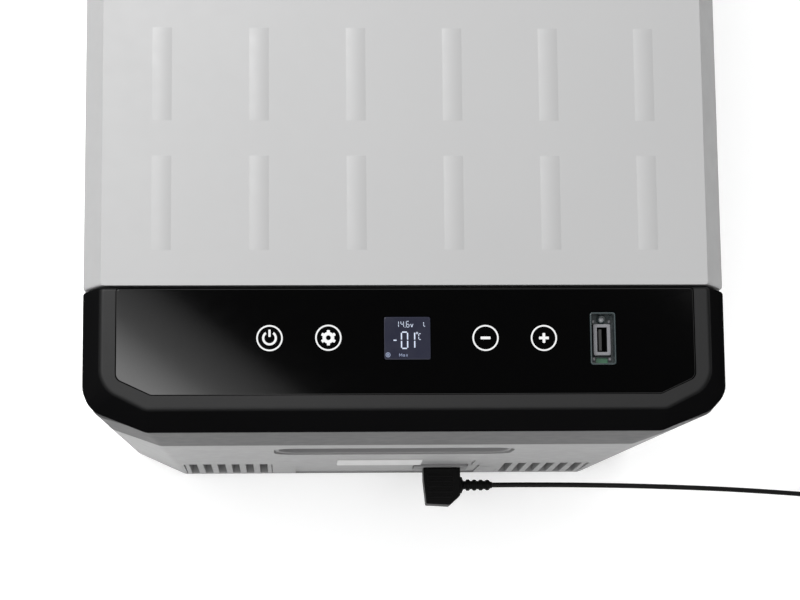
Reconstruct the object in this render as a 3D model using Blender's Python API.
"""Compressor cooler fridge, 20 litre class, built as an assembly of separate solids.

Metres, +Z up. The control-panel end faces -Y, the lid hinges on the -X long side and the latch is on
the +X long side. The origin is the centre of the footprint, on the floor.
"""
import math

import bmesh
import bpy
from mathutils import Matrix, Vector

# ---- driving dimensions -------------------------------------------------------------------------
LENGTH = 0.570
WIDTH = 0.320
HEIGHT = 0.320
GAP = 0.0003                    # clearance between neighbouring solids
WALL = 0.003                    # moulded shell thickness

HALF_L = LENGTH / 2
HALF_W = WIDTH / 2
FOOT_HEIGHT = 0.0055
BODY_BOTTOM = FOOT_HEIGHT + GAP
COLLAR_BOTTOM = 0.209
COLLAR_TOP = 0.295
LID_BOTTOM = 0.2960
SKIRT_HEIGHT = HEIGHT - 0.0142  # height at which the sloping skirt reaches full width
SKIRT_INSET = 0.0096            # how far the top face stands in from the full width

LID_FRONT = -0.2147             # front edge of the lid, in Y
PANEL_REAR = LID_FRONT - 0.0011
PANEL_TOP_FRONT = -0.2766       # front edge of the panel frame's top face
PANEL_CORNER_X = 0.1290         # where the frame's front meets its diagonal corner
PANEL_CORNER_Y = -0.2725        # where that diagonal meets the side

PLATE_TOP = HEIGHT - 0.0004
PLATE_THICKNESS = 0.0020
PLATE_REAR = PANEL_REAR - 0.0008
PLATE_FRONT = -0.2693
PLATE_HALF_W = 0.1427
PLATE_CORNER_X = 0.1255
PLATE_CORNER_Y = -0.2612

DISPLAY_CENTRE = (0.0003, -0.2414)
DISPLAY_SIZE = (0.0229, 0.0213)
USB_CENTRE = (0.0972, -0.2418)
USB_WINDOW = (0.0128, 0.0263)
USB_FACE = (0.0087, 0.0157)
USB_PORT = (0.0048, 0.0122)
USB_FACE_TOP = 0.3154
BOARD_TOP = 0.3036
BOARD_THICKNESS = 0.0016

RIB_COLUMNS = 6                 # low roof-shaped ribs on the lid
RIB_ROWS = 7
RIB_PITCH_X = 0.0484
RIB_PITCH_Y = 0.0658
RIB_FIRST_Y = LID_FRONT + 0.0415
RIB_SIZE = (0.0100, 0.0480)
RIB_HEIGHT = 0.0008
LID_TOP = HEIGHT - RIB_HEIGHT

TUB_HALF_W = 0.1255             # inside half width of the cold tub
TUB_FRONT = -0.1050             # inside front wall of the deep part
TUB_REAR = 0.2420
TUB_FLOOR = 0.0420
SHELF_FRONT = -0.1950           # the shallow shelf over the compressor bay
SHELF_FLOOR = 0.2350
TUB_TOP = 0.2915
TUB_WALL = 0.0016
FLANGE_HALF_W = 0.1390
FLANGE_FRONT = -0.2085
FLANGE_REAR = 0.2665

HINGE_AXIS = (-0.1535, 0.2875)  # X and Z of the lid's hinge axis
HINGE_CENTRES_Y = (-0.1200, 0.1900)
HINGE_LENGTH = 0.0420
HINGE_PIN_RADIUS = 0.0015
LATCH_AXIS = (0.1520, 0.3010)
LATCH_CENTRE_Y = 0.0
LATCH_LENGTH = 0.0480

GRIP_SIZE = (0.1320, 0.0410)
GRIP_CENTRE_Z = 0.1685
GRIP_DEPTH = 0.0220
VENT_CENTRE = (0.0935, 0.0475)  # |X| and Z of the front vent fields
VENT_FIELD = (0.0520, 0.0700)
VENT_SLOTS = 6
VENT_SLOT_WIDTH = 0.0045
INLET_CENTRE = (0.0330, 0.0500)
INLET_RECESS = (0.0155, 0.0505, 0.0300, 0.1020)     # x from, x to, z from, z to
LOWER_FIELD = (-0.0535, 0.0555, 0.0100, 0.0670)     # x from, x to, z from, z to
RECESS_DEPTH = 0.0010

FAN_CENTRE = (-0.0800, -0.2090, 0.0900)
FAN_SIZE = 0.0800
FAN_DEPTH = 0.0200
COMPRESSOR_CENTRE = (0.0700, -0.1980)
COMPRESSOR_RADIUS = 0.0540

CORD_RADIUS = 0.0015
CORD_EXIT = (0.0640, -0.2894, 0.0500)
COIL_CENTRE = (0.3350, -0.3300)
COIL_MID_RADIUS = 0.0180
COIL_BAND = 0.0120              # width and height of the wound turns
LIGHTER_PLUG_START = (0.3720, -0.2860)


# ---- helpers ------------------------------------------------------------------------------------
def clear_scene():
    for old in list(bpy.data.objects):
        bpy.data.objects.remove(old, do_unlink=True)


def make_material(name, colour, roughness, metallic=0.0):
    mat = bpy.data.materials.new(name)
    mat.use_nodes = True
    shader = mat.node_tree.nodes["Principled BSDF"]
    shader.inputs["Base Color"].default_value = (*colour, 1.0)
    shader.inputs["Roughness"].default_value = roughness
    shader.inputs["Metallic"].default_value = metallic
    return mat


def make_empty(name, location):
    empty = bpy.data.objects.new(name, None)
    empty.location = location
    bpy.context.scene.collection.objects.link(empty)
    return empty


def make_object(name, bm, mat=None, axis=None, smooth=False):
    """Turn a bmesh into an object; axis is the empty on the joint that it turns about."""
    bmesh.ops.recalc_face_normals(bm, faces=bm.faces)
    mesh = bpy.data.meshes.new(name)
    bm.to_mesh(mesh)
    bm.free()
    if smooth:
        mesh.shade_smooth()
        mesh.set_sharp_from_angle(angle=math.radians(35))
    obj = bpy.data.objects.new(name, mesh)
    if mat:
        mesh.materials.append(mat)
    bpy.context.scene.collection.objects.link(obj)
    if axis:
        obj.parent = axis
        obj.matrix_parent_inverse = Matrix.Translation(-Vector(axis.location))
    return obj


def subtract(target, cutter, operation="DIFFERENCE"):
    """Cut one object with another, or join it on with UNION; the tool object stays hidden."""
    cutter.hide_render = True
    cutter.display_type = "WIRE"
    modifier = target.modifiers.new(cutter.name, "BOOLEAN")
    modifier.operation = operation
    modifier.solver = "EXACT"
    modifier.object = cutter


def mix(low, high, amount):
    return low + (high - low) * amount


def rounded_outline(corners, steps=3):
    """Closed plan outline from (x, y, radius) corners, each turned by an arc of the given steps."""
    points = []
    count = len(corners)
    for index, (x, y, radius) in enumerate(corners):
        here = Vector((x, y))
        before = Vector(corners[index - 1][:2])
        after = Vector(corners[(index + 1) % count][:2])
        back = (before - here).normalized()
        ahead = (after - here).normalized()
        half_angle = back.angle(ahead) / 2
        reach = radius / math.tan(half_angle)
        centre = here + (back + ahead).normalized() * (radius / math.sin(half_angle))
        start = here + back * reach - centre
        turn = start.angle_signed(here + ahead * reach - centre)
        for step in range(steps + 1):
            points.append(centre + Matrix.Rotation(-turn * step / steps, 2) @ start)
    return points


def rectangle(centre_x, centre_y, size_x, size_y, radius=0.0, steps=3):
    """Plan outline of a rectangle, with rounded corners when a radius is given."""
    left, right = centre_x - size_x / 2, centre_x + size_x / 2
    low, high = centre_y - size_y / 2, centre_y + size_y / 2
    if radius == 0.0:
        return [Vector(p) for p in ((left, low), (right, low), (right, high), (left, high))]
    corners = [(left, low, radius), (right, low, radius), (right, high, radius), (left, high, radius)]
    return rounded_outline(corners, steps)


def circle(centre_x, centre_y, radius, sides=24):
    angles = [2 * math.pi * side / sides for side in range(sides)]
    return [Vector((centre_x + radius * math.cos(a), centre_y + radius * math.sin(a))) for a in angles]


def loft(sections, closed=False):
    """Skin a list of (outline, z) sections; the ends are capped unless the skin closes on itself."""
    bm = bmesh.new()
    rings = [[bm.verts.new((p.x, p.y, z)) for p in outline] for outline, z in sections]
    count = len(rings[0])
    pairs = list(zip(rings, rings[1:])) + ([(rings[-1], rings[0])] if closed else [])
    for lower, upper in pairs:
        for i in range(count):
            j = (i + 1) % count
            bm.faces.new((lower[i], lower[j], upper[j], upper[i]))
    if not closed:
        bm.faces.new(list(reversed(rings[0])))
        bm.faces.new(rings[-1])
    return bm


def prism(outline, low, high):
    return loft([(outline, low), (outline, high)])


def box(low, high):
    """Box between two opposite corners."""
    centre_x, centre_y = (low[0] + high[0]) / 2, (low[1] + high[1]) / 2
    return prism(rectangle(centre_x, centre_y, high[0] - low[0], high[1] - low[1]), low[2], high[2])


def turn_to_y(bm, centre):
    """Stand a Z-extruded shape on its side so that its Z runs along +Y, then move it to centre."""
    matrix = Matrix.Translation(centre) @ Matrix.Rotation(math.radians(-90), 4, "X")
    bmesh.ops.transform(bm, matrix=matrix, verts=bm.verts)
    return bm


def turn_to_x(bm, centre):
    """Stand a Z-extruded shape on its side so that its Z runs along +X, then move it to centre."""
    matrix = Matrix.Translation(centre) @ Matrix.Rotation(math.radians(90), 4, "Y")
    bmesh.ops.transform(bm, matrix=matrix, verts=bm.verts)
    return bm


def turned(profile, centre, steps=24):
    """Solid of revolution about a vertical axis from (radius, z) points, bottom to top."""
    return loft([(circle(centre[0], centre[1], radius, steps), z) for radius, z in profile])


def pipe(name, points, radius, mat, axis=None):
    """Round pipe along a smooth curve through the points, with filled ends."""
    curve = bpy.data.curves.new(name, "CURVE")
    curve.dimensions = "3D"
    curve.bevel_depth = radius
    curve.bevel_resolution = 2
    curve.use_fill_caps = True
    spline = curve.splines.new("POLY")
    spline.points.add(len(points) - 1)
    for slot, point in zip(spline.points, points):
        slot.co = (*point, 1.0)
    curve.materials.append(mat)
    obj = bpy.data.objects.new(name, curve)
    bpy.context.scene.collection.objects.link(obj)
    if axis:
        obj.parent = axis
    return obj


def smooth_path(knots, steps):
    """Points on a Catmull-Rom curve through the knots, with chord-length spacing."""
    knots = [Vector(k) for k in knots]
    first = knots[0] * 2 - knots[1]
    last = knots[-1] * 2 - knots[-2]
    chain = [first, *knots, last]
    path = [knots[0]]
    for p0, p1, p2, p3 in zip(chain, chain[1:], chain[2:], chain[3:]):
        t0 = 0.0
        t1 = t0 + (p1 - p0).length ** 0.5
        t2 = t1 + (p2 - p1).length ** 0.5
        t3 = t2 + (p3 - p2).length ** 0.5
        for step in range(1, steps + 1):
            t = mix(t1, t2, step / steps)
            a1 = p0 * ((t1 - t) / (t1 - t0)) + p1 * ((t - t0) / (t1 - t0))
            a2 = p1 * ((t2 - t) / (t2 - t1)) + p2 * ((t - t1) / (t2 - t1))
            a3 = p2 * ((t3 - t) / (t3 - t2)) + p3 * ((t - t2) / (t3 - t2))
            b1 = a1 * ((t2 - t) / (t2 - t0)) + a2 * ((t - t0) / (t2 - t0))
            b2 = a2 * ((t3 - t) / (t3 - t1)) + a3 * ((t - t1) / (t3 - t1))
            path.append(b1 * ((t2 - t) / (t2 - t1)) + b2 * ((t - t1) / (t2 - t1)))
    return path


# ---- outlines of the housing --------------------------------------------------------------------
def body_outline(z, inset=0.0):
    """Plan of the body; both front corners are cut by a diagonal that deepens towards the floor."""
    rise = (z - BODY_BOTTOM) / (COLLAR_TOP - BODY_BOTTOM)
    half = mix(0.1540, 0.1570, rise) - inset
    front = mix(-0.2777, -0.2842, rise) + inset
    rear = mix(0.2810, 0.2842, rise) - inset
    corner_x = mix(0.1210, 0.1285, rise) - inset * 0.25
    corner_y = mix(-0.2626, -0.2755, rise) + inset * 0.8
    rear_radius = 0.0220 - inset * 0.6
    return rounded_outline([
        (-corner_x, front, 0.0080), (corner_x, front, 0.0080), (half, corner_y, 0.0090),
        (half, rear, rear_radius), (-half, rear, rear_radius), (-half, corner_y, 0.0090)])


def lid_outline(inset, front=LID_FRONT):
    """Plan of the lid; inset is how far the sides and the rear stand in from the full width."""
    half = HALF_W - inset
    return rounded_outline([
        (-half, front, 0.0030), (half, front, 0.0030),
        (half, HALF_L - inset, 0.0220), (-half, HALF_L - inset, 0.0220)], 4)


def panel_outline(inset_side, inset_front, rear=PANEL_REAR):
    """Plan of the control-panel frame, with the two diagonal front corners."""
    half = HALF_W - inset_side
    front = -HALF_L + inset_front
    corner_x = PANEL_CORNER_X - inset_side * 0.1
    corner_y = PANEL_CORNER_Y + inset_front * 0.85
    return rounded_outline([
        (-corner_x, front, 0.0080), (corner_x, front, 0.0080), (half, corner_y, 0.0090),
        (half, rear, 0.0030), (-half, rear, 0.0030), (-half, corner_y, 0.0090)])


def plate_outline(inset=0.0):
    """Plan of the glossy panel plate."""
    half = PLATE_HALF_W - inset
    return rounded_outline([
        (-PLATE_CORNER_X, PLATE_FRONT + inset, 0.0040), (PLATE_CORNER_X, PLATE_FRONT + inset, 0.0040),
        (half, PLATE_CORNER_Y + inset, 0.0050), (half, PLATE_REAR - inset, 0.0015),
        (-half, PLATE_REAR - inset, 0.0015), (-half, PLATE_CORNER_Y + inset, 0.0050)])


# ---- body ---------------------------------------------------------------------------------------
def build_body_shell(mats):
    """Lower housing: a drafted tub with a floor, cut for the vents, grips, inlet and fan air."""
    top = COLLAR_BOTTOM
    bottom = BODY_BOTTOM
    floor = bottom + WALL
    shell = make_object("body_shell", loft([
        (body_outline(bottom, 0.0030), bottom), (body_outline(bottom + 0.0030), bottom + 0.0030),
        (body_outline(top), top), (body_outline(top, WALL), top),
        (body_outline(floor, WALL + 0.0010), floor)]), mats["body"])
    front_y = -0.2900
    for side in (-1, 1):
        centre = (side * VENT_CENTRE[0], VENT_CENTRE[1])
        outline = rectangle(0, 0, VENT_FIELD[0], VENT_FIELD[1], 0.0030)
        hole = turn_to_y(prism(outline, 0, 0.0200), (centre[0], front_y, centre[1]))
        subtract(shell, make_object(f"cut_front_vent_{side}", hole))
        hole = turn_to_x(prism(outline, 0, 0.0200), (side * 0.1550 - 0.0100, -0.2150, 0.0900))
        subtract(shell, make_object(f"cut_side_vent_{side}", hole))
        grip = rectangle(0, 0, GRIP_SIZE[0], GRIP_SIZE[1], 0.0120)
        hole = turn_to_y(prism(grip, 0, 0.0200), (0, side * 0.2800 - 0.0100, GRIP_CENTRE_Z))
        subtract(shell, make_object(f"cut_grip_{side}", hole))
    inlet = rectangle(0, 0, 0.0320 + 2 * GAP, 0.0260 + 2 * GAP, 0.0020)
    hole = turn_to_y(prism(inlet, 0, 0.0200), (INLET_CENTRE[0], front_y, INLET_CENTRE[1]))
    subtract(shell, make_object("cut_inlet", hole))
    for name, (left, right, low, high) in (("lower_field", LOWER_FIELD), ("inlet_recess", INLET_RECESS)):
        levels = []
        for level in (low, high):
            inner = wall_y(level) + RECESS_DEPTH
            middle = (front_y + inner) / 2
            levels.append((rectangle((left + right) / 2, middle, right - left, inner - front_y), level))
        subtract(shell, make_object(f"cut_{name}", loft(levels)))


def wall_y(z, rear=False):
    """Y of the outer front wall of the body at a height, or of its rear wall."""
    ys = [p.y for p in body_outline(z)]
    return max(ys) if rear else min(ys)


def wall_x(z):
    """X of the outer side wall of the body at a height."""
    return max(p.x for p in body_outline(z))


def build_vents(mats):
    """Four slotted grilles set into the body's windows; the front ones have deep bars."""
    pitch = VENT_FIELD[0] / VENT_SLOTS
    plate_size = (VENT_FIELD[0] - 2 * GAP, VENT_FIELD[1] - 2 * GAP)
    names = {-1: "left", 1: "right"}
    for side in (-1, 1):
        for place in ("front", "side"):
            outline = rectangle(0, 0, *plate_size, 0.0028)
            thickness = 0.0080 if place == "front" else 0.0022
            bm = prism(outline, 0, thickness)
            cutter = bmesh.new()
            for slot in range(VENT_SLOTS):
                offset = (slot - (VENT_SLOTS - 1) / 2) * pitch * 0.96
                bar = prism(rectangle(offset, 0, VENT_SLOT_WIDTH, VENT_FIELD[1] - 0.0080), -0.001, 0.009)
                mesh = bpy.data.meshes.new("slot")
                bar.to_mesh(mesh)
                bar.free()
                cutter.from_mesh(mesh)
            if place == "front":
                centre = (side * VENT_CENTRE[0], wall_y(VENT_CENTRE[1]) + 0.0006, VENT_CENTRE[1])
                turn_to_y(bm, centre)
                turn_to_y(cutter, centre)
            else:
                centre = (side * (wall_x(0.0900) - 0.0006) - (0.0022 if side > 0 else 0.0), -0.2150, 0.0900)
                turn_to_x(bm, centre)
                turn_to_x(cutter, centre)
            grille = make_object(f"vent_grille_{place}_{names[side]}", bm, mats["body"])
            subtract(grille, make_object(f"cut_slots_{place}_{names[side]}", cutter))


def build_collar(mats):
    """Upper housing ring: thick side walls that hold the hinge pockets and the latch pocket."""
    low = COLLAR_BOTTOM + GAP
    top = COLLAR_TOP
    inner = rounded_outline([
        (-0.1250, -0.2795, 0.0060), (0.1250, -0.2795, 0.0060), (0.1395, -0.2740, 0.0060),
        (0.1395, 0.2672, 0.0002), (-0.1395, 0.2672, 0.0002), (-0.1395, -0.2740, 0.0060)])
    collar = make_object("body_collar", loft([
        (body_outline(low, 0.0010), low), (body_outline(low), low + 0.0010),
        (body_outline(top), top - 0.0010), (body_outline(top, 0.0010), top),
        (inner, top), (inner, low)], closed=True), mats["collar"])
    for number, centre_y in enumerate(HINGE_CENTRES_Y):
        half = HINGE_LENGTH / 2 + 0.0010
        pocket = box((-0.1620, centre_y - half, 0.2770), (-0.1430, centre_y + half, 0.2970))
        subtract(collar, make_object(f"cut_hinge_pocket_{number}", pocket))
    half = LATCH_LENGTH / 2 + 0.0030
    pocket = box((0.1475, LATCH_CENTRE_Y - half, 0.2500), (0.1620, LATCH_CENTRE_Y + half, 0.2970))
    subtract(collar, make_object("cut_latch_pocket", pocket))


def build_grips(mats):
    """A carry-grip cup in each end wall: a shallow bowl with rounded ends."""
    for side, name in ((-1, "front"), (1, "rear")):
        outer = rectangle(0, 0, GRIP_SIZE[0] - 2 * GAP, GRIP_SIZE[1] - 2 * GAP, 0.0117)
        deep = rectangle(0, 0, GRIP_SIZE[0] - 0.0080, GRIP_SIZE[1] - 0.0060, 0.0100)
        inner = rectangle(0, 0, GRIP_SIZE[0] - 0.0050, GRIP_SIZE[1] - 0.0050, 0.0095)
        inner_deep = rectangle(0, 0, GRIP_SIZE[0] - 0.0140, GRIP_SIZE[1] - 0.0110, 0.0080)
        bm = loft([(inner_deep, GRIP_DEPTH - 0.002), (inner, 0), (outer, 0), (outer, 0.004),
                   (deep, GRIP_DEPTH)])
        if side > 0:
            bmesh.ops.rotate(bm, verts=bm.verts, matrix=Matrix.Rotation(math.pi, 3, "X"))
        edge_y = wall_y(GRIP_CENTRE_Z - 0.02, rear=side > 0)
        turn_to_y(bm, (0, edge_y - side * 0.0008, GRIP_CENTRE_Z))
        make_object(f"grip_cup_{name}", bm, mats["recess"], smooth=False)


def build_feet(mats):
    for x, left_right in ((-0.1180, "left"), (0.1180, "right")):
        for y, front_rear in ((-0.2350, "front"), (0.2480, "rear")):
            profile = [(0.0100, 0.0), (0.0115, 0.0012), (0.0125, FOOT_HEIGHT)]
            foot = turned(profile, (x, y))
            make_object(f"foot_{front_rear}_{left_right}", foot, mats["rubber"], smooth=True)


def build_label(mats):
    """Blank rating-label plate on the front wall."""
    height = 0.1010
    low, high = height - 0.0115, height + 0.0115
    face = wall_y(high) - 0.0015
    plate = box((-0.0300, face, low), (0.0190, wall_y(high) - 0.0004, high))
    make_object("label_plate", plate, mats["label"])


# ---- cold tub -----------------------------------------------------------------------------------
def tub_profile(grow, top):
    """Stepped side profile of the tub, as (y, z) points: deep part and the shallow shelf."""
    return [
        (SHELF_FRONT - grow, top), (SHELF_FRONT - grow, SHELF_FLOOR - grow),
        (TUB_FRONT - grow, SHELF_FLOOR - grow), (TUB_FRONT - grow, TUB_FLOOR - grow),
        (TUB_REAR + grow, TUB_FLOOR - grow), (TUB_REAR + grow, top)]


def stepped_block(half_width, profile):
    """The stepped side profile extruded across the width."""
    bm = bmesh.new()
    left = [bm.verts.new((-half_width, y, z)) for y, z in profile]
    right = [bm.verts.new((half_width, y, z)) for y, z in profile]
    count = len(profile)
    for i in range(count):
        j = (i + 1) % count
        bm.faces.new((left[i], left[j], right[j], right[i]))
    bm.faces.new(left)
    bm.faces.new(list(reversed(right)))
    bmesh.ops.recalc_face_normals(bm, faces=bm.faces)
    return bm


def build_tub(mats):
    """Cold tub with its flange, and the insulation block round it."""
    liner = make_object("tub_liner", stepped_block(
        TUB_HALF_W + TUB_WALL, tub_profile(TUB_WALL, TUB_TOP)), mats["liner"])
    flange = box((-FLANGE_HALF_W, FLANGE_FRONT, TUB_TOP - 0.0022), (FLANGE_HALF_W, FLANGE_REAR, TUB_TOP))
    subtract(liner, make_object("add_flange", flange), "UNION")
    hollow = stepped_block(TUB_HALF_W, tub_profile(0.0, TUB_TOP + 0.0100))
    floor_edges = [edge for edge in hollow.edges
                   if edge.calc_length() > 0.2 and max(v.co.z for v in edge.verts) < TUB_FLOOR + 0.0010]
    bmesh.ops.bevel(hollow, geom=floor_edges, offset=0.0120, segments=3, affect="EDGES", clamp_overlap=True)
    subtract(liner, make_object("cut_tub", hollow))

    foam_top = TUB_TOP - 0.0022 - GAP
    half = 0.1385
    outer = [
        (FLANGE_FRONT + 0.0005, foam_top), (FLANGE_FRONT + 0.0005, 0.2180), (-0.1290, 0.2180),
        (-0.1290, 0.0130), (0.2590, 0.0130), (0.2590, foam_top)]
    foam = make_object("tub_foam", stepped_block(half, outer), mats["foam"])
    cavity = stepped_block(TUB_HALF_W + TUB_WALL + GAP, tub_profile(TUB_WALL + GAP, foam_top + 0.0100))
    subtract(foam, make_object("cut_foam", cavity))


def build_tub_fittings(mats):
    """Interior lamp, temperature probe and the lift-out basket."""
    lens = prism(rectangle(0, 0, 0.0300, 0.0100, 0.0030), 0, 0.0030)
    lamp = turn_to_y(lens, (0.0, SHELF_FRONT + GAP, 0.2700))
    make_object("interior_lamp", lamp, mats["lamp"])
    probe = turn_to_x(prism(circle(0, 0, 0.0030, 12), 0, 0.0100), (-TUB_HALF_W + GAP, 0.1000, 0.1500))
    make_object("temperature_probe", probe, mats["steel"], smooth=True)

    low = TUB_FLOOR + 0.0130
    top = 0.2500
    half = 0.1090
    front, rear = TUB_FRONT + 0.0140, TUB_REAR - 0.0140
    centre_y = (front + rear) / 2
    depth = rear - front
    bottom_outer = rectangle(0, centre_y, 2 * half - 0.012, depth - 0.012, 0.0120)
    top_outer = rectangle(0, centre_y, 2 * half, depth, 0.0140)
    bottom_inner = rectangle(0, centre_y, 2 * half - 0.018, depth - 0.018, 0.0110)
    top_inner = rectangle(0, centre_y, 2 * half - 0.006, depth - 0.006, 0.0120)
    basket = make_object("basket", loft([
        (bottom_outer, low), (top_outer, top), (top_inner, top), (bottom_inner, low + 0.0030)]), mats["wire"])
    across, along, high = 5, 8, 2
    cell_y = (depth - 0.040) / along
    cell_x = (2 * half - 0.040) / across
    cell_z = (top - low - 0.020) / high
    bars = []
    for row in range(high):
        z0 = low + 0.012 + row * cell_z
        for column in range(along):
            y0 = front + 0.020 + column * cell_y
            bars.append(((-0.2, y0 + 0.002, z0 + 0.003), (0.2, y0 + cell_y - 0.002, z0 + cell_z - 0.003)))
    for row in range(high):
        z0 = low + 0.012 + row * cell_z
        for column in range(across):
            x0 = -half + 0.020 + column * cell_x
            bars.append(((x0 + 0.002, -0.3, z0 + 0.003), (x0 + cell_x - 0.002, 0.4, z0 + cell_z - 0.003)))
    for number, (low_corner, high_corner) in enumerate(bars):
        bar = box(low_corner, high_corner)
        subtract(basket, make_object(f"cut_basket_{number}", bar))


# ---- control panel ------------------------------------------------------------------------------
def build_panel(mats):
    """Black frame over the compressor bay, with the glossy plate let into its top."""
    low = COLLAR_TOP + GAP
    ceiling = 0.3155
    front_inset = PANEL_TOP_FRONT + HALF_L
    frame = make_object("control_frame", loft([
        (panel_outline(0.0, 0.0), low), (panel_outline(0.0, 0.0008), SKIRT_HEIGHT),
        (panel_outline(SKIRT_INSET - 0.0012, front_inset - 0.0015), HEIGHT - 0.0012),
        (panel_outline(SKIRT_INSET, front_inset), HEIGHT)]), mats["frame"])
    cavity = loft([
        (panel_outline(0.0030, 0.0030, PANEL_REAR - 0.0025), low - 0.0100),
        (panel_outline(0.0035, 0.0045, PANEL_REAR - 0.0025), SKIRT_HEIGHT - 0.0010),
        (panel_outline(0.0100, 0.0115, PANEL_REAR - 0.0025), ceiling)])
    subtract(frame, make_object("cut_frame_cavity", cavity))
    recess = prism(plate_outline(-GAP), PLATE_TOP - PLATE_THICKNESS - GAP, HEIGHT + 0.0050)
    subtract(frame, make_object("cut_plate_recess", recess))
    opening = prism(plate_outline(0.0040), ceiling - 0.0100, HEIGHT)
    subtract(frame, make_object("cut_frame_opening", opening))

    plate = make_object("panel_plate", prism(plate_outline(), PLATE_TOP - PLATE_THICKNESS, PLATE_TOP),
                        mats["gloss"])
    window = rectangle(*DISPLAY_CENTRE, DISPLAY_SIZE[0] + 2 * GAP, DISPLAY_SIZE[1] + 2 * GAP, 0.0010)
    subtract(plate, make_object("cut_display", prism(window, 0.3100, 0.3300)))
    window = rectangle(*USB_CENTRE, USB_WINDOW[0] + 2 * GAP, USB_WINDOW[1] + 2 * GAP, 0.0040)
    subtract(plate, make_object("cut_usb", prism(window, 0.3100, 0.3300)))

    board_low = BOARD_TOP - BOARD_THICKNESS
    board = rectangle(0.0, -0.2420, 0.2400, 0.0420, 0.0020)
    make_object("control_board", prism(board, board_low, BOARD_TOP), mats["board"])
    display = prism(rectangle(*DISPLAY_CENTRE, *DISPLAY_SIZE, 0.0010), BOARD_TOP + GAP, PLATE_TOP)
    make_object("display_module", display, mats["display"])


def build_usb(mats):
    """USB outlet: a lined well in the panel with the connector, its port and a pilot lamp."""
    x, y = USB_CENTRE
    floor = 0.3120
    outer = rectangle(x, y, *USB_WINDOW, 0.0040)
    inner = rectangle(x, y, USB_WINDOW[0] - 0.0012, USB_WINDOW[1] - 0.0012, 0.0034)
    well = make_object("usb_well", loft([
        (outer, floor - 0.0010), (outer, PLATE_TOP), (inner, PLATE_TOP), (inner, floor)]), mats["usb_well"])
    hole = prism(rectangle(x, y, USB_FACE[0] + 2 * GAP, USB_FACE[1] + 2 * GAP), floor - 0.01, floor + 0.01)
    subtract(well, make_object("cut_usb_well", hole))
    socket = make_object("usb_socket", prism(rectangle(x, y, *USB_FACE), BOARD_TOP + GAP, USB_FACE_TOP),
                         mats["usb_face"])
    port = prism(rectangle(x, y, *USB_PORT), USB_FACE_TOP - 0.0085, USB_FACE_TOP + 0.01)
    subtract(socket, make_object("cut_usb_port", port))
    outline = rectangle(x - 0.0010, y, 0.0014, USB_PORT[1] - 0.0012)
    tongue = prism(outline, USB_FACE_TOP - 0.0083, USB_FACE_TOP - 0.0006)
    make_object("usb_tongue", tongue, mats["liner"])
    profile = [(0.0022, floor + GAP), (0.0022, floor + 0.0016), (0.0016, floor + 0.0022)]
    lamp = turned(profile, (x, y + 0.01035), 16)
    make_object("usb_pilot_lamp", lamp, mats["lamp"], smooth=True)


# ---- cooling unit -------------------------------------------------------------------------------
def build_compressor(mats):
    x, y = COMPRESSOR_CENTRE
    radius = COMPRESSOR_RADIUS
    bottom = 0.0240
    profile = [
        (radius * 0.55, bottom), (radius * 0.86, bottom + 0.006), (radius * 0.97, bottom + 0.016),
        (radius * 0.97, bottom + 0.052), (radius, bottom + 0.053), (radius, bottom + 0.059),
        (radius * 0.97, bottom + 0.060), (radius * 0.95, bottom + 0.088), (radius * 0.78, bottom + 0.104),
        (radius * 0.40, bottom + 0.112)]
    make_object("compressor_shell", turned(profile, (x, y)), mats["compressor"], smooth=True)
    plate_low = 0.0160
    plate = rectangle(x, y, 0.1180, 0.1060, 0.0100)
    make_object("compressor_plate", prism(plate, plate_low, plate_low + 0.0020), mats["steel"])
    for number, (dx, dy) in enumerate(((-0.048, -0.042), (0.048, -0.042), (0.0, 0.044)), start=1):
        low = BODY_BOTTOM + WALL + GAP
        top = plate_low - GAP
        middle = (low + top) / 2
        mount = turned([(0.0085, low), (0.0070, middle), (0.0085, top)], (x + dx, y + dy), 16)
        make_object(f"compressor_mount_{number}", mount, mats["rubber"], smooth=True)


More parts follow.
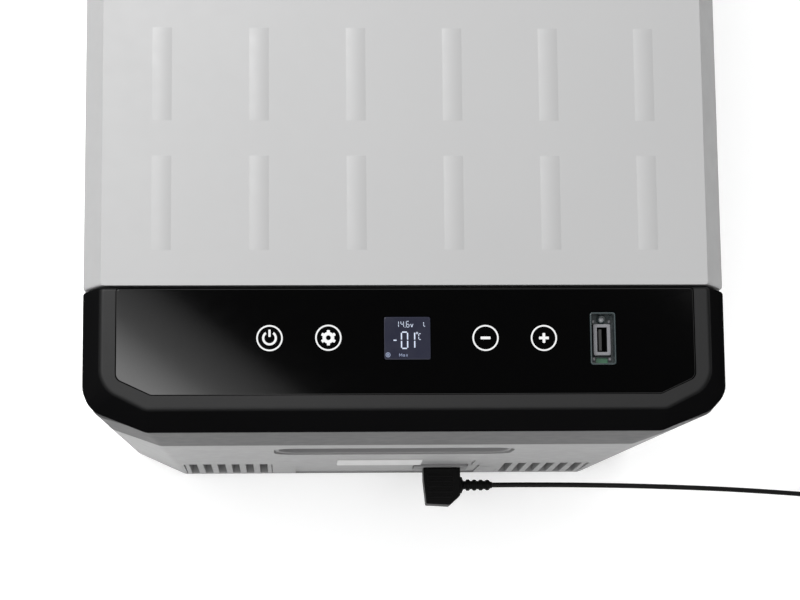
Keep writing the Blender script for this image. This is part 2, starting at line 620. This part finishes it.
def build_fan(mats, fan_axis):
    """Condenser block with its fins, the fan frame and the turning rotor."""
    x, y, z = FAN_CENTRE
    half = FAN_SIZE / 2
    core = make_object("condenser", box((x - 0.050, -0.2570, z - 0.050), (x + 0.050, -0.2350, z + 0.050)),
                       mats["condenser"])
    fins = 9
    for fin in range(fins):
        fin_x = x - 0.050 + 0.100 * (fin + 0.5) / fins
        for side, name in ((-0.2640, "front"), (-0.2400, "rear")):
            groove = box((fin_x - 0.0030, side, z - 0.046), (fin_x + 0.0030, side + 0.0120, z + 0.046))
            subtract(core, make_object(f"cut_fin_{name}_{fin}", groove))
    frame_low = y - FAN_DEPTH / 2
    body = turn_to_y(prism(rectangle(0, 0, FAN_SIZE, FAN_SIZE, 0.0050), 0, FAN_DEPTH), (x, frame_low, z))
    frame = make_object("fan_frame", body, mats["fan"])
    bore = turn_to_y(prism(circle(0, 0, half - 0.0025, 32), -0.01, FAN_DEPTH + 0.01), (x, frame_low, z))
    subtract(frame, make_object("cut_fan_bore", bore))
    for number, angle in enumerate((45, 135)):
        strut = box((-half, FAN_DEPTH / 2 - 0.0030, -0.0030), (half, FAN_DEPTH / 2, 0.0030))
        matrix = Matrix.Translation((x, y, z)) @ Matrix.Rotation(math.radians(angle), 4, "Y")
        bmesh.ops.transform(strut, matrix=matrix, verts=strut.verts)
        subtract(frame, make_object(f"add_fan_strut_{number}", strut), "UNION")
    hub_length = 0.0140
    hub = turn_to_y(turned([(0.0150, 0), (0.0170, 0.0020), (0.0170, hub_length)], (0, 0), 20),
                    (x, frame_low + 0.0010, z))
    rotor = make_object("fan_rotor", hub, mats["fan"], axis=fan_axis, smooth=True)
    blades = 7
    for blade in range(blades):
        bm = box((0.0150, -0.0005, -0.0060), (half - 0.0045, 0.0005, 0.0060))
        matrix = (Matrix.Translation((x, frame_low + 0.0080, z))
                  @ Matrix.Rotation(2 * math.pi * blade / blades, 4, "Y")
                  @ Matrix.Rotation(math.radians(55), 4, "X"))
        bmesh.ops.transform(bm, matrix=matrix, verts=bm.verts)
        subtract(rotor, make_object(f"add_blade_{blade}", bm), "UNION")


def build_refrigeration(mats):
    """Pipes between compressor, drier and condenser, and the driver board on the tub wall."""
    x, y = COMPRESSOR_CENTRE
    drier_x = -0.0080
    drier = turned([(0.0025, 0.0600), (0.0080, 0.0680), (0.0080, 0.1180), (0.0025, 0.1260)],
                   (drier_x, -0.2420), 16)
    make_object("filter_drier", drier, mats["copper"], smooth=True)
    discharge = smooth_path([
        (x - 0.020, y - 0.010, 0.1380), (x - 0.022, y - 0.012, 0.1460), (x - 0.040, y - 0.012, 0.1520),
        (-0.020, -0.2200, 0.1560), (-0.060, -0.2300, 0.1540), (-0.080, -0.2450, 0.1500),
        (-0.085, -0.2460, 0.1415)], 4)
    pipe("discharge_pipe", discharge, 0.0025, mats["copper"])
    suction = smooth_path([
        (x + 0.018, y + 0.010, 0.1375), (x + 0.018, y + 0.010, 0.1600), (x + 0.010, y + 0.020, 0.1800),
        (x - 0.010, y + 0.030, 0.1900), (x - 0.020, y + 0.034, 0.2020), (x - 0.020, y + 0.034, 0.2170)], 4)
    pipe("suction_pipe", suction, 0.0030, mats["copper"])
    driver = prism(rectangle(-0.070, -0.1420, 0.0900, 0.0200, 0.0020), 0.0300, 0.1300)
    make_object("driver_unit", driver, mats["fan"])


def build_inlet(mats):
    """Twelve-volt inlet in the front wall: a flanged block with a square mouth."""
    x, z = INLET_CENTRE
    face = wall_y(z) - 0.0008
    block = turn_to_y(prism(rectangle(0, 0, 0.0320, 0.0260, 0.0018), 0, 0.0180), (x, face, z))
    inlet = make_object("dc_inlet", block, mats["recess"])
    mouth = turn_to_y(prism(rectangle(0, 0, 0.0200, 0.0160), -0.001, 0.0110), (x, face, z))
    subtract(inlet, make_object("cut_inlet_mouth", mouth))


# ---- lid ----------------------------------------------------------------------------------------
def build_lid(mats, lid_axis):
    """Top shell with its rows of low ribs, the foam, the inner liner and the seal."""
    shell = make_object("lid_shell", loft([
        (lid_outline(0.0), LID_BOTTOM), (lid_outline(0.0), SKIRT_HEIGHT),
        (lid_outline(SKIRT_INSET - 0.0014), LID_TOP - 0.0010),
        (lid_outline(SKIRT_INSET + 0.0006, LID_FRONT + 0.0006), LID_TOP)]), mats["lid"], axis=lid_axis)
    inner_front = LID_FRONT + WALL
    cavity = loft([
        (lid_outline(WALL, inner_front), LID_BOTTOM - 0.0100),
        (lid_outline(WALL, inner_front), SKIRT_HEIGHT - 0.0010),
        (lid_outline(SKIRT_INSET + WALL, inner_front), LID_TOP - WALL)])
    subtract(shell, make_object("cut_lid_cavity", cavity))
    half = LATCH_LENGTH / 2 + 0.0030
    notch = box((0.1440, LATCH_CENTRE_Y - half, 0.2900), (0.1640, LATCH_CENTRE_Y + half, 0.3105))
    subtract(shell, make_object("cut_latch_notch", notch))

    ribs = bmesh.new()
    half_x, half_y = RIB_SIZE[0] / 2, RIB_SIZE[1] / 2
    sunk = 0.0004
    spread = 1 + sunk / RIB_HEIGHT
    for column in range(RIB_COLUMNS):
        x = (column - (RIB_COLUMNS - 1) / 2) * RIB_PITCH_X
        for row in range(RIB_ROWS):
            y = RIB_FIRST_Y + row * RIB_PITCH_Y
            ridge = [ribs.verts.new((x, y + end * (half_y - half_x), HEIGHT)) for end in (-1, 1)]
            foot = [ribs.verts.new((x + sx * half_x * spread, y + sy * (half_y + half_x * (spread - 1)),
                                    LID_TOP - sunk)) for sx, sy in ((-1, -1), (1, -1), (1, 1), (-1, 1))]
            ribs.faces.new(foot)
            ribs.faces.new((foot[0], foot[1], ridge[0]))
            ribs.faces.new((foot[1], foot[2], ridge[1], ridge[0]))
            ribs.faces.new((foot[2], foot[3], ridge[1]))
            ribs.faces.new((foot[3], foot[0], ridge[0], ridge[1]))
    subtract(shell, make_object("add_lid_ribs", ribs), "UNION")

    liner_low = 0.2850
    flange = rounded_outline([
        (-0.1410, -0.2095, 0.0060), (0.1410, -0.2095, 0.0060),
        (0.1410, 0.2660, 0.0120), (-0.1410, 0.2660, 0.0120)])
    plug = rectangle(0, (SHELF_FRONT + TUB_REAR) / 2, 2 * TUB_HALF_W - 0.012,
                     TUB_REAR - SHELF_FRONT - 0.012, 0.0120)
    plug_inner = rectangle(0, (SHELF_FRONT + TUB_REAR) / 2, 2 * TUB_HALF_W - 0.016,
                           TUB_REAR - SHELF_FRONT - 0.016, 0.0110)
    flange_low = LID_BOTTOM
    flange_top = LID_BOTTOM + 0.0020
    make_object("lid_liner", loft([
        (plug, liner_low), (plug, flange_low), (flange, flange_low), (flange, flange_top),
        (plug_inner, flange_top), (plug_inner, liner_low + 0.0020)]), mats["liner"], axis=lid_axis)
    foam_wide = rounded_outline([
        (-0.1400, -0.2085, 0.0060), (0.1400, -0.2085, 0.0060),
        (0.1400, 0.2650, 0.0120), (-0.1400, 0.2650, 0.0120)])
    foam_plug = rectangle(0, (SHELF_FRONT + TUB_REAR) / 2, 2 * TUB_HALF_W - 0.018,
                          TUB_REAR - SHELF_FRONT - 0.018, 0.0100)
    make_object("lid_foam", loft([
        (foam_plug, liner_low + 0.0020 + GAP), (foam_plug, flange_top + GAP),
        (foam_wide, flange_top + GAP), (foam_wide, LID_TOP - WALL - GAP)]), mats["foam"], axis=lid_axis)

    seal_outer = rounded_outline([
        (-0.1370, -0.2065, 0.0080), (0.1370, -0.2065, 0.0080),
        (0.1370, 0.2645, 0.0100), (-0.1370, 0.2645, 0.0100)])
    seal_inner = rounded_outline([
        (-0.1300, -0.1995, 0.0060), (0.1300, -0.1995, 0.0060),
        (0.1300, 0.2590, 0.0080), (-0.1300, 0.2590, 0.0080)])
    low, high = TUB_TOP + GAP, LID_BOTTOM - GAP
    make_object("lid_seal", loft([
        (seal_outer, low), (seal_outer, high), (seal_inner, high), (seal_inner, low)], closed=True),
        mats["seal"], axis=lid_axis)


def build_hinges(mats, lid_axis):
    """Two pinned hinges: the body leaf has the middle knuckle, the lid leaf has the outer two."""
    x, z = HINGE_AXIS
    outer, bore = 0.0048, HINGE_PIN_RADIUS + GAP
    third = HINGE_LENGTH / 3
    for name, centre_y in zip(("front", "rear"), HINGE_CENTRES_Y):
        low = centre_y - third / 2 + GAP
        high = centre_y + third / 2 - GAP
        knuckle = turn_to_y(prism(circle(0, 0, outer, 20), 0, high - low), (x, low, z))
        leaf = make_object(f"hinge_body_leaf_{name}", knuckle, mats["hinge"], smooth=True)
        foot = box((x, low, z - 0.0096), (-0.1433, high, z + 0.0010))
        subtract(leaf, make_object(f"add_body_leaf_{name}", foot), "UNION")
        hole = turn_to_y(prism(circle(0, 0, bore, 16), -0.01, 0.03), (x, low, z))
        subtract(leaf, make_object(f"cut_body_leaf_{name}", hole))

        start = centre_y - HINGE_LENGTH / 2
        wide = turn_to_y(prism(circle(0, 0, outer, 20), 0, HINGE_LENGTH), (x, start, z))
        lid_leaf = make_object(f"hinge_lid_leaf_{name}", wide, mats["hinge"], axis=lid_axis, smooth=True)
        web = box((x - outer * 0.9, start, z), (x + outer * 0.9, start + HINGE_LENGTH, LID_BOTTOM - GAP - 0.0001))
        subtract(lid_leaf, make_object(f"add_lid_web_{name}", web), "UNION")
        room = box((x - 0.0080, centre_y - third / 2, z - 0.0080), (x + 0.0080, centre_y + third / 2, z + 0.0055))
        subtract(lid_leaf, make_object(f"cut_lid_leaf_{name}", room))
        hole = turn_to_y(prism(circle(0, 0, bore, 16), -0.01, HINGE_LENGTH + 0.01), (x, start, z))
        subtract(lid_leaf, make_object(f"cut_lid_bore_{name}", hole))
        pin = turn_to_y(prism(circle(0, 0, HINGE_PIN_RADIUS, 16), 0, HINGE_LENGTH - 0.0004), (x, start + 0.0002, z))
        make_object(f"hinge_pin_{name}", pin, mats["steel"], smooth=True)


def build_latch(mats, lid_axis, latch_axis):
    """Over-centre lever on the lid, its bracket and pin, and the keeper on the body."""
    x, z = LATCH_AXIS
    half = LATCH_LENGTH / 2
    bracket = make_object("latch_bracket", box((0.1444, -half - 0.0026, LID_BOTTOM), (0.1545, half + 0.0026, 0.3080)),
                          mats["frame"], axis=lid_axis)
    room = box((0.1466, -half - GAP, LID_BOTTOM - 0.01), (0.1600, half + GAP, 0.3200))
    subtract(bracket, make_object("cut_bracket_room", room))
    bore = turn_to_y(prism(circle(0, 0, 0.0015, 16), 0, LATCH_LENGTH + 0.02), (x, -half - 0.01, z))
    subtract(bracket, make_object("cut_bracket_bore", bore))
    pin = turn_to_y(prism(circle(0, 0, 0.0012, 16), 0, LATCH_LENGTH + 0.0048), (x, -half - 0.0024, z))
    make_object("latch_pin", pin, mats["steel"], axis=lid_axis, smooth=True)

    barrel = turn_to_y(prism(circle(0, 0, 0.0034, 20), 0, LATCH_LENGTH), (x, -half, z))
    lever = make_object("latch_lever", barrel, mats["frame"], axis=latch_axis)
    arm = box((x, -half, z - 0.0034), (0.1592, half, z + 0.0010))
    plate = box((0.1562, -half, 0.2660), (0.1592, half, z + 0.0010))
    lip = box((0.1562, -half, 0.2660), (0.1598, half, 0.2700))
    hook = box((0.1536, -0.0140, 0.2690), (0.1570, 0.0140, 0.2730))
    for name, bm in (("arm", arm), ("plate", plate), ("lip", lip), ("hook", hook)):
        subtract(lever, make_object(f"add_lever_{name}", bm), "UNION")
    bore = turn_to_y(prism(circle(0, 0, 0.0015, 16), -0.01, LATCH_LENGTH + 0.01), (x, -half, z))
    subtract(lever, make_object("cut_lever_bore", bore))

    keeper = box((0.1475 + GAP, -0.0130, 0.2755), (0.1526, 0.0130, 0.2830))
    bmesh.ops.bevel(keeper, geom=keeper.edges[:], offset=0.0008, segments=1, affect="EDGES")
    make_object("latch_keeper", keeper, mats["steel"])


# ---- power lead ---------------------------------------------------------------------------------
def build_lead(mats):
    """Right-angle inlet plug, its ribbed strain relief, the lead to the floor, its coil and plug."""
    x, z = INLET_CENTRE
    face = wall_y(z) - 0.0008
    start = face + 0.0100
    outline = [Vector(p) for p in (
        (x - 0.0095, start), (x + 0.0095, start), (x + 0.0095, face - 0.0006), (x + 0.0115, face - 0.0010),
        (x + 0.0115, -0.2960), (x + 0.0050, -0.3018), (x - 0.0090, -0.3010), (x - 0.0105, -0.2860),
        (x - 0.0105, face - 0.0010), (x - 0.0095, face - 0.0006))]
    plug = make_object("inlet_plug", prism(outline, z - 0.0075, z + 0.0075), mats["plug"])
    relief = [(0.0060, 0.0), (0.0060, 0.0015)]
    for rib in range(4):
        along = 0.0035 + rib * 0.0040
        relief += [(0.0034, along - 0.0010), (0.0034, along), (0.0044 - rib * 0.0002, along + 0.0010),
                   (0.0044 - rib * 0.0002, along + 0.0022)]
    relief.append((0.0024, 0.0196))
    boot = turn_to_x(loft([(circle(0, 0, r, 16), h) for r, h in relief]),
                     (CORD_EXIT[0] - GAP - 0.0196, CORD_EXIT[1], z))
    subtract(plug, make_object("add_relief", boot), "UNION")

    coil_x, coil_y = COIL_CENTRE
    inner = COIL_MID_RADIUS - COIL_BAND / 2
    outer = COIL_MID_RADIUS + COIL_BAND / 2
    low, high = 0.0003, 0.0003 + COIL_BAND
    ring = loft([
        (circle(coil_x, coil_y, outer, 32), low), (circle(coil_x, coil_y, outer, 32), high),
        (circle(coil_x, coil_y, inner, 32), high), (circle(coil_x, coil_y, inner, 32), low)], closed=True)
    make_object("lead_coil", ring, mats["cord"], smooth=True)

    floor = CORD_RADIUS + 0.0003
    route = smooth_path([
        CORD_EXIT, (0.0800, -0.2894, 0.0499), (0.1100, -0.2895, 0.0486), (0.1500, -0.2898, 0.0430),
        (0.2000, -0.2905, 0.0300), (0.2400, -0.2915, 0.0152), (0.2700, -0.2930, 0.0058),
        (0.2950, -0.2955, floor), (0.3150, -0.2990, floor),
        (coil_x - 0.0060, coil_y + outer + CORD_RADIUS + 0.0006, floor)], 5)
    pipe("lead_cord", route, CORD_RADIUS, mats["cord"])

    px, py = LIGHTER_PLUG_START
    level = high - CORD_RADIUS
    tail = smooth_path([
        (coil_x + 0.0050, coil_y + outer + CORD_RADIUS + 0.0003, level), (coil_x + 0.0150, -0.3028, level),
        (coil_x + 0.0250, -0.3000, level), (px - 0.0030, py - 0.0100, level),
        (px, py - 0.0040, level), (px, py - 0.0006, level)], 5)
    pipe("lead_tail", tail, CORD_RADIUS, mats["cord"])

    barrel_radius = 0.0105
    stations = [(0.0024, 0.0), (0.0040, 0.0010), (0.0060, 0.0120), (0.0090, 0.0160), (barrel_radius, 0.0240),
                (barrel_radius, 0.0480), (0.0098, 0.0500), (0.0098, 0.0720), (0.0060, 0.0760), (0.0040, 0.0820)]
    barrel = loft([(circle(0, 0, r, 20), h) for r, h in stations])
    turn_to_y(barrel, (px, py, barrel_radius + 0.0002))
    make_object("lighter_plug", barrel, mats["plug"], smooth=True)


def main():
    clear_scene()
    mats = {
        "lid": make_material("lid_grey_plastic", (0.56, 0.56, 0.56), 0.45),
        "body": make_material("body_grey_plastic", (0.50, 0.50, 0.50), 0.50),
        "collar": make_material("collar_grey_plastic", (0.19, 0.19, 0.19), 0.50),
        "frame": make_material("black_textured_plastic", (0.025, 0.025, 0.026), 0.55),
        "gloss": make_material("black_gloss_plastic", (0.004, 0.004, 0.004), 0.06),
        "display": make_material("display_glass", (0.02, 0.021, 0.045), 0.20),
        "recess": make_material("dark_grey_plastic", (0.12, 0.12, 0.12), 0.55),
        "liner": make_material("white_liner_plastic", (0.78, 0.79, 0.79), 0.35),
        "foam": make_material("insulation_foam", (0.80, 0.72, 0.48), 0.90),
        "seal": make_material("seal_rubber", (0.10, 0.10, 0.10), 0.70),
        "rubber": make_material("foot_rubber", (0.02, 0.02, 0.02), 0.80),
        "steel": make_material("zinc_steel", (0.60, 0.60, 0.60), 0.30, 1.0),
        "hinge": make_material("hinge_black_plastic", (0.03, 0.03, 0.03), 0.50),
        "copper": make_material("copper_pipe", (0.70, 0.35, 0.20), 0.30, 1.0),
        "condenser": make_material("aluminium_fins", (0.65, 0.65, 0.66), 0.35, 1.0),
        "compressor": make_material("black_enamel_steel", (0.02, 0.02, 0.02), 0.30),
        "fan": make_material("fan_black_plastic", (0.03, 0.03, 0.03), 0.45),
        "board": make_material("circuit_board", (0.01, 0.12, 0.05), 0.45),
        "usb_well": make_material("usb_well_plastic", (0.22, 0.26, 0.27), 0.35),
        "usb_face": make_material("usb_connector_shell", (0.62, 0.64, 0.64), 0.35),
        "lamp": make_material("lamp_lens", (0.85, 0.88, 0.90), 0.20),
        "label": make_material("label_film", (0.80, 0.80, 0.80), 0.40),
        "wire": make_material("coated_wire", (0.75, 0.76, 0.77), 0.35),
        "cord": make_material("cord_jacket", (0.015, 0.015, 0.015), 0.50),
        "plug": make_material("plug_plastic", (0.02, 0.02, 0.02), 0.45),
    }
    lid_axis = make_empty("lid_axis", (HINGE_AXIS[0], 0.0, HINGE_AXIS[1]))
    latch_axis = make_empty("latch_axis", (LATCH_AXIS[0], LATCH_CENTRE_Y, LATCH_AXIS[1]))
    fan_axis = make_empty("fan_axis", FAN_CENTRE)

    build_body_shell(mats)
    build_vents(mats)
    build_collar(mats)
    build_grips(mats)
    build_feet(mats)
    build_label(mats)
    build_tub(mats)
    build_tub_fittings(mats)
    build_panel(mats)
    build_usb(mats)
    build_compressor(mats)
    build_fan(mats, fan_axis)
    build_refrigeration(mats)
    build_inlet(mats)
    build_lid(mats, lid_axis)
    build_hinges(mats, lid_axis)
    build_latch(mats, lid_axis, latch_axis)
    build_lead(mats)


main()
